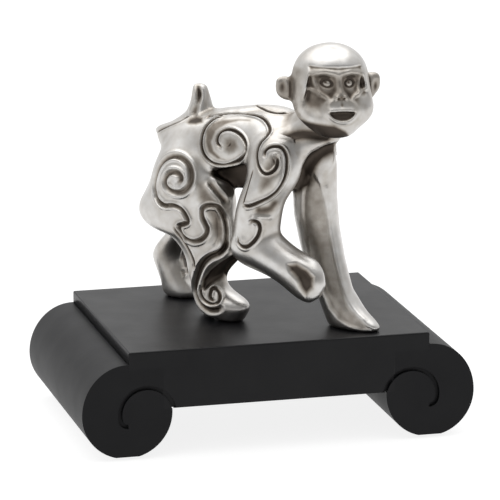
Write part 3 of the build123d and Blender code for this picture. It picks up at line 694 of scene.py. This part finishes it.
pewter, tree, shader = material("pewter")
shader.inputs["Metallic"].default_value = 1.0
place = own_place(tree)
# Darkening attribute: tarnish and painted shade together
patina_and_shade = tree.nodes.new("ShaderNodeAttribute")
patina_and_shade.attribute_name = "patina_and_shade"
cloud = tree.nodes.new("ShaderNodeMath")
cloud.operation = "MULTIPLY_ADD"
cloud.inputs[1].default_value = 0.34
tree.links.new(noise(tree, 60, 3, place), cloud.inputs[0])
tree.links.new(patina_and_shade.outputs["Fac"], cloud.inputs[2])
mottle = tree.nodes.new("ShaderNodeMath")
mottle.operation = "MULTIPLY_ADD"
mottle.inputs[1].default_value = 0.34
tree.links.new(noise(tree, 330, 5, place), mottle.inputs[0])
tree.links.new(cloud.outputs["Value"], mottle.inputs[2])
tree.links.new(ramp(tree, mottle.outputs["Value"], [
    (0.25, (0.63, 0.62, 0.605)), (0.5, (0.46, 0.432, 0.395)),
    (0.8, (0.2, 0.172, 0.144)), (1.0, (0.07, 0.057, 0.047)),
]), shader.inputs["Base Color"])
tree.links.new(spread(tree, mottle.outputs["Value"], 0.25, 0.5), shader.inputs["Roughness"])
bump(tree, shader, noise(tree, 420, 5, place), 0.1, 0.0004)


def lacquered(name, smooth, dull):
    """Black lacquer with its roughness between two values."""
    made, tree, shader = material(name)
    place = own_place(tree)
    shader.inputs["Specular IOR Level"].default_value = 0.22
    tree.links.new(ramp(tree, noise(tree, 60, 3, place), [
        (0.3, (0.004, 0.004, 0.005)), (0.7, (0.008, 0.008, 0.009)),
    ]), shader.inputs["Base Color"])
    tree.links.new(spread(tree, noise(tree, 90, 4, place), smooth, dull), shader.inputs["Roughness"])
    bump(tree, shader, noise(tree, 900, 3, place), 0.08, 0.0002)
    return made


lacquer = {"board": lacquered("lacquer_flat", 0.34, 0.46)}
lacquer["left_scroll"] = lacquer["right_scroll"] = lacquered("lacquer_rolled", 0.45, 0.57)

beech, tree, shader = material("beech")
place = own_place(tree)
grain = tree.nodes.new("ShaderNodeTexWave")
grain.bands_direction = "Z"
grain.inputs["Scale"].default_value = 320
grain.inputs["Distortion"].default_value = 5
grain.inputs["Detail"].default_value = 3
tree.links.new(place, grain.inputs["Vector"])
tree.links.new(ramp(tree, grain.outputs["Fac"], [
    (0.2, (0.62, 0.45, 0.27)), (0.8, (0.48, 0.32, 0.18)),
]), shader.inputs["Base Color"])
tree.links.new(spread(tree, grain.outputs["Fac"], 0.55, 0.7), shader.inputs["Roughness"])
bump(tree, shader, grain.outputs["Fac"], 0.15, 0.0002)

felt, tree, shader = material("felt")
place = own_place(tree)
shader.inputs["Sheen Weight"].default_value = 0.4
shader.inputs["Roughness"].default_value = 0.95
fuzz = noise(tree, 2600, 4, place)
tree.links.new(ramp(tree, fuzz, [
    (0.3, (0.012, 0.012, 0.013)), (0.7, (0.05, 0.05, 0.052)),
]), shader.inputs["Base Color"])
bump(tree, shader, fuzz, 0.7, 0.0003)

zinc, tree, shader = material("zinc")
place = own_place(tree)
shader.inputs["Metallic"].default_value = 1.0
turned = noise(tree, 900, 3, place)
tree.links.new(ramp(tree, noise(tree, 200, 3, place), [
    (0.3, (0.5, 0.51, 0.52)), (0.7, (0.66, 0.66, 0.65)),
]), shader.inputs["Base Color"])
tree.links.new(spread(tree, turned, 0.25, 0.42), shader.inputs["Roughness"])
bump(tree, shader, turned, 0.1, 0.0001)

FITTINGS = {"scroll_dowels": beech, "felt_pads": felt, "foot_screws": zinc, "screw_washers": zinc}
for name, made in FITTINGS.items():
    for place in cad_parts[name].material_slots:
        place.material = made


SEAM_DEPTH = 0.8 * MM
EDGE_EASE = 0.4 * MM


def piece(name, points, quads, normals, tarnish_and_shade, node):
    """Closed mesh piece from part of the surface, standing for a CAD node."""
    used, places = np.unique(quads, return_inverse=True)
    mesh = bpy.data.meshes.new(name)
    mesh.from_pydata((points[used] * MM).tolist(), [], places.reshape(-1, 4).tolist())
    shaped = bmesh.new()
    shaped.from_mesh(mesh)
    ring = bmesh.ops.extrude_edge_only(shaped, edges=[e for e in shaped.edges if e.is_boundary])["geom"]
    inner = {vert for vert in ring if isinstance(vert, bmesh.types.BMVert)}
    shaped.verts.index_update()
    used = np.concatenate([used, np.zeros(len(inner), int)])
    for vert in inner:
        outer = next(edge.other_vert(vert) for edge in vert.link_edges if edge.other_vert(vert) not in inner)
        used[vert.index] = used[outer.index]
        vert.co -= Vector(normals[used[outer.index]]) * SEAM_DEPTH
    filled = bmesh.ops.holes_fill(shaped, edges=[e for e in shaped.edges if e.is_boundary], sides=0)["faces"]
    bmesh.ops.triangulate(shaped, faces=filled)
    shaped.to_mesh(mesh)
    shaped.free()
    mesh.polygons.foreach_set("use_smooth", np.ones(len(mesh.polygons), bool))
    mesh.normals_split_custom_set_from_vertices(normals[used].tolist())
    # Darkening stored per vertex: tarnish together with painted shade
    mesh.attributes.new("patina_and_shade", "FLOAT", "POINT").data.foreach_set("value", tarnish_and_shade[used].astype(np.float32))
    made = bpy.data.objects.new(name, mesh)
    bpy.context.scene.collection.objects.link(made)
    mesh.materials.append(pewter)
    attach(made, "root")
    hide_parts(node)
    return made


face_owner = owners[quads[:, 0]]
for index, name in enumerate(BODY):
    piece("sculpted_" + name, points, quads[face_owner == index], normals, tarnish_and_shade, name)


# The head
def bell(*shares):
    """One in the middle, falling off where the shares, taken together, pass one."""
    return np.exp(-sum(share * share for share in shares))


low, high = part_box("head")
skull = Clay(np.array(low) / MM - 3, np.array(high) / MM + 3, HEAD_VOXEL)
skull.field = soften(skull.node("head"), 3)
voxels = skull.block(np.array(low) / MM - 3, np.array(high) / MM + 3)[1]
ahead, across = (voxels - SKULL) @ FACE, (voxels - SKULL) @ CHEEK
height = voxels[..., 2] - TOP + 0.7 + 0.035 * across
side = across - 0.45 - 0.05 * (83 - height)
width = np.abs(side)
front = ease(ahead, 3, 7)
form = np.zeros_like(skull.field)
dark = np.zeros_like(skull.field)


def mould(amount, share, tarnish_and_shade=0.0):
    """Raises the face by an amount in a share of it, or sinks it, and darkens that share: tarnish in hollows,
    painted shade in some places.
    """
    form[...] -= amount * share * front
    np.maximum(dark, tarnish_and_shade * share * front, out=dark)


def ridge(points, amount, breadth, tarnish_and_shade=0.0):
    """Raised line, or sunk one, on both halves of the face, through points given by side and height."""
    gap = np.full(width.shape, 1e3)
    for (a, b), (c, d) in zip(points, points[1:]):
        along = (width - a) * (c - a) + (height - b) * (d - b)
        part = np.clip(along / ((c - a) ** 2 + (d - b) ** 2), 0, 1)
        gap = np.minimum(gap, np.hypot(width - a - part * (c - a), height - b - part * (d - b)))
    mould(amount, bell(gap / breadth), tarnish_and_shade)


# The face lies below the edge of a smooth cap, between two ridges
border = np.interp(height, [74, 76.8, 81.1, 84.8, 91.8, 94], [12.6, 12.2, 11.5, 10.4, 9.2, 9.0])
inset = border - np.abs(across)
full_cheek = ease(across, 3, 8) * ease(86 - height, 0, 4)
panel = ease(92.9 - height, 0, 0.8) * ease(height, 74, 82) * (1 - 0.8 * full_cheek)
panel *= ease(inset / np.interp(height, [79, 86], [3.0, 0.9]), 0, 1)
muzzle = np.hypot(side / 6.0, (height - 79.0) / 4.3)
mould(-0.45 - 0.7 * ease(91.5 - height, 0, 5), panel)
# The face panel, outside the muzzle, is darkened as painted shade on the front of the face
mould(0.0, panel * (1 - 0.8 * np.exp(-muzzle ** 4)) * (1 - 0.4 * ease(height, 89, 91)), 0.38)
# Painted shadow under the chin and jaw
under_chin = np.interp(across, [-12, -2, 2, 5], [75, 74.6, 72.5, 69]) - height
np.maximum(dark, 0.75 * ease(under_chin, 0, 2), out=dark)
temple = ease(-inset, -1.5, 0) * bell((ahead - 1) / 6) * ease(height, 73, 76) * ease(92 - height, 0, 2)
np.maximum(dark, 0.3 * temple, out=dark)
form -= 1.4 * bell((across - 12) / 4, (height - 78.5) / 5.5) * ease(ahead, -6, 0)
side_ridge = bell((inset + 0.3) / 0.7) * ease(height, 72, 77) * ease(91.5 - height, 0, 2.5)
mould(0.5, side_ridge * (1 - 0.8 * full_cheek))
mould(-0.25, bell((height - 92.3) / 0.35) * ease(inset, -0.3, 0.6), 0.2)
ridge([(0, 90.4), (4.4, 91.3), (8.4, 90.2)], 0.5, 0.9)
mould(-1.3, bell((width - 4.4) / 3.1, (height - 87.7) / 2.2), 0.5)
# Shallow lid crease, darkened as painted shade under the brow
mould(-0.3, bell((width - 4.4) / 2.6, (height - 89.2) / 0.7), 0.75)
ridge([(8.3, 89.6), (7.4, 86.5), (6.6, 83.6)], 0.5, 0.5)
eye = np.hypot((width - 3.9) / 1.4, (height - 87.2) / 1.08)
# Painted shade above one eye only, on the side of negative across
mould(0.0, bell((across + 4.5) / 4.5, (height - 90.8) / 1.5), 0.15)
mould(0.9, np.sqrt(np.clip(1 - eye * eye, 0, 1)))
dark *= 1 - 0.55 * ease(1 - eye, 0, 0.4)
mould(0.0, bell((np.abs(side + 0.45) - 3.9) / 0.65, (height - 87.6) / 0.5), 0.8)
mould(-0.45, bell((eye - 1.15) / 0.2), 0.95)
mould(0.35, bell((eye - 1.55) / 0.2))
nose = np.interp(height, [82.4, 83.2, 84.4, 86, 88, 91], [0, 1.7, 2.0, 1.2, 0.7, 0.2])
mould(1.0, nose * bell(side / np.interp(height, [83, 86, 90], [2.0, 1.2, 0.9])))
mould(0.9, bell((width - 1.5) / 0.75, (height - 83.3) / 0.8))
mould(-1.0, bell((width - 1.0) / 0.4, (height - 82.8) / 0.42), 0.9)
mould(-0.4, bell(side / 0.9, (height - 83.2) / 0.7), 0.7)
mould(1.6, np.exp(-muzzle ** 6))
mould(-0.3, bell(side / 0.5, (height - 80.8) / 0.9), 0.3)
mould(-0.7, bell((width - 8.2) / 2.6, (height - 81.0) / 3.0) * (1 - full_cheek), 0.15)
# Painted shade on one cheek only, on the side of negative across
mould(0.0, bell((across + 8.0) / 4.2, (height - 80.6) / 3.4), 0.38)
ridge([(9.4, 85.0), (7.2, 84.2), (4.4, 82.6)], 0.6, 0.6)
mouth_floor = 75.5 + 2.4 * np.abs(side / 4.5) ** 2.7
mouth_top = 78.5 - 0.4 * (side / 4.5) ** 2
mould(0.35, bell((height - mouth_top - 0.7) / 0.5) * ease(5.2 - width, 0, 1))
mould(0.4, bell((height - mouth_floor + 0.7) / 0.6) * ease(5.2 - width, 0, 1))
mould(-1.2, ease(mouth_top - height, -0.2, 0.3) * ease(height - mouth_floor, -0.2, 0.3), 0.65)
ridge([(4.6, 80.9), (2.9, 82.0), (1.6, 82.9)], 0.5, 0.5)
ridge([(7.8, 89.4), (8.1, 86.0)], -0.15, 0.5, 0.35)
mould(0.4, bell(side / 4.0, (height - 72.3) / 2.0))

# Folds of the ears
fold = ease(ahead, -3.2, -1.6)
brim = np.abs(across)
form += 1.2 * fold * bell((brim - 15.9) / 1.5, (height - 83.9) / 2.9)
form += 0.5 * fold * bell((brim - 13.7) / 0.45) * ease(4.6 - np.abs(height - 83.6), 0, 1.5)
np.maximum(dark, 0.6 * fold * bell((brim - 13.7) / 0.5, (height - 83.6) / 5), out=dark)
np.maximum(dark, 0.5 * fold * bell((brim - 15.9) / 1.5, (height - 83.9) / 2.9), out=dark)
skull.field = soften(skull.field + form, 1)
head_points, head_quads = skull.surface()
head_points = relax(head_points, head_quads, 3)
head_normals = vertex_normals(head_points, head_quads)
hollow = skull.sample(soften(skull.field, 4) - skull.field, head_points)
head_tarnish_and_shade = np.clip(skull.sample(dark, head_points) + np.clip(-hollow * 1.5, 0, 0.5), 0, 1)
piece("sculpted_head", head_points, head_quads, head_normals, head_tarnish_and_shade, "head")


# The plinth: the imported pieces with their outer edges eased
PLINTH = ["board", "left_scroll", "right_scroll"]
solids = {}
for name in PLINTH:
    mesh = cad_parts[name].data
    solids[name] = BVHTree.FromPolygons([v.co for v in mesh.vertices], [p.vertices for p in mesh.polygons])


def within(solid, spot):
    """Whether a spot lies in a solid, by an odd number of crossings of a slanting line up from it."""
    aim = Vector((0.31, 0.52, 0.79)).normalized()
    crossings = 0
    hit = solid.ray_cast(spot, aim)[0]
    while hit is not None:
        crossings += 1
        hit = solid.ray_cast(hit + aim * 1e-6, aim)[0]
    return crossings % 2 == 1


def is_rim(edge, name):
    """Whether an edge is a convex outer one, not on a seam with another piece of the plinth."""
    if len(edge.link_faces) != 2 or not edge.is_convex or edge.calc_face_angle() < math.radians(50):
        return False
    middle = (edge.verts[0].co + edge.verts[1].co) / 2
    inward = sum((face.normal for face in edge.link_faces), Vector())
    spots = [middle + face.normal * 0.0002 - (inward - face.normal) * 0.0002 for face in edge.link_faces]
    return not any(within(solids[other], spot) for other in PLINTH if other != name for spot in spots)


def planed(name):
    """Piece with eased edges, standing for a CAD node of the plinth."""
    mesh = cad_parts[name].data.copy()
    mesh.name = "planed_" + name
    shaped = bmesh.new()
    shaped.from_mesh(mesh)
    bmesh.ops.remove_doubles(shaped, verts=shaped.verts, dist=0.00001)
    bmesh.ops.dissolve_limit(shaped, angle_limit=math.radians(1.5), verts=shaped.verts, edges=shaped.edges)
    rims = [edge for edge in shaped.edges if is_rim(edge, name)]
    bmesh.ops.bevel(
        shaped, geom=rims, offset=EDGE_EASE, segments=3, profile=0.5, affect="EDGES", clamp_overlap=True
    )
    shaped.to_mesh(mesh)
    shaped.free()
    mesh.polygons.foreach_set("use_smooth", np.ones(len(mesh.polygons), bool))
    mesh.set_sharp_from_angle(angle=math.radians(60))
    mesh.materials.clear()
    mesh.materials.append(lacquer[name])
    made = bpy.data.objects.new(mesh.name, mesh)
    bpy.context.scene.collection.objects.link(made)
    flat = made.modifiers.new("flat_faces", "WEIGHTED_NORMAL")
    flat.keep_sharp = True
    flat.weight = 100
    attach(made, "root")
    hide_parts(name)


for name in PLINTH:
    planed(name)

# Stage
floor_mesh = bpy.data.meshes.new("floor")
floor_mesh.from_pydata([(-6, -6, 0), (6, -6, 0), (6, 6, 0), (-6, 6, 0)], [], [(0, 1, 2, 3)])
floor = bpy.data.objects.new("floor", floor_mesh)
bpy.context.scene.collection.objects.link(floor)
paper, tree, shader = material("paper")
shader.inputs["Base Color"].default_value = (0.25, 0.25, 0.25, 1)
shader.inputs["Roughness"].default_value = 0.9
shader.inputs["Specular IOR Level"].default_value = 0.0
shader.inputs["Emission Color"].default_value = (1, 1, 1, 1)
ray = tree.nodes.new("ShaderNodeLightPath")
lit = ray.outputs["Is Camera Ray"]
for kind in ("Is Glossy Ray", "Is Transmission Ray"):
    either = tree.nodes.new("ShaderNodeMath")
    either.operation = "MAXIMUM"
    tree.links.new(lit, either.inputs[0])
    tree.links.new(ray.outputs[kind], either.inputs[1])
    lit = either.outputs["Value"]
tree.links.new(spread(tree, lit, 0.0, 0.85), shader.inputs["Emission Strength"])
floor_mesh.materials.append(paper)
floor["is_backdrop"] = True

world = bpy.data.worlds.new("studio")
world.use_nodes = True
tree = world.node_tree
towards = tree.nodes.new("ShaderNodeSeparateXYZ")
tree.links.new(tree.nodes.new("ShaderNodeTexCoord").outputs["Generated"], towards.inputs["Vector"])
SKY = [(0.0, 0.56), (0.4, 0.63), (0.75, 0.85), (1.0, 0.95)]
sky = ramp(tree, towards.outputs["Z"], [(place, (grey, grey, grey)) for place, grey in SKY])
background = tree.nodes["Background"]
tree.links.new(sky, background.inputs["Color"])
tree.links.new(spread(tree, towards.outputs["Y"], 0.5, 1.7, -1.0), background.inputs["Strength"])
bpy.context.scene.world = world


def softbox(name, place, aim, width, height, watts):
    """Rectangular lamp turned to a point."""
    lamp = bpy.data.lights.new(name, "AREA")
    lamp.shape = "RECTANGLE"
    lamp.size = width
    lamp.size_y = height
    lamp.energy = watts
    made = bpy.data.objects.new(name, lamp)
    made.location = place
    made.rotation_euler = (Vector(aim) - Vector(place)).to_track_quat("-Z", "Y").to_euler()
    bpy.context.scene.collection.objects.link(made)


softbox("top", (0.0, 0.15, 1.0), (0, 0, 0.08), 1.5, 1.5, 7.5)
softbox("left", (-0.8, -0.5, 0.5), (0, 0, 0.07), 0.3, 0.6, 0.6)

camera = bpy.data.cameras.new("camera")
camera.lens = FOCUS / 500 * 36
camera.sensor_width = 36
camera.clip_end = 30
view = bpy.data.objects.new("camera", camera)
view.matrix_world = Matrix((
    (RIGHT[0], RISE[0], BACK[0], EYE[0] * MM),
    (RIGHT[1], RISE[1], BACK[1], EYE[1] * MM),
    (RIGHT[2], RISE[2], BACK[2], EYE[2] * MM),
    (0, 0, 0, 1),
))
bpy.context.scene.collection.objects.link(view)
bpy.context.scene.camera = view
bpy.context.scene.view_settings.view_transform = "Standard"

low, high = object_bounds()
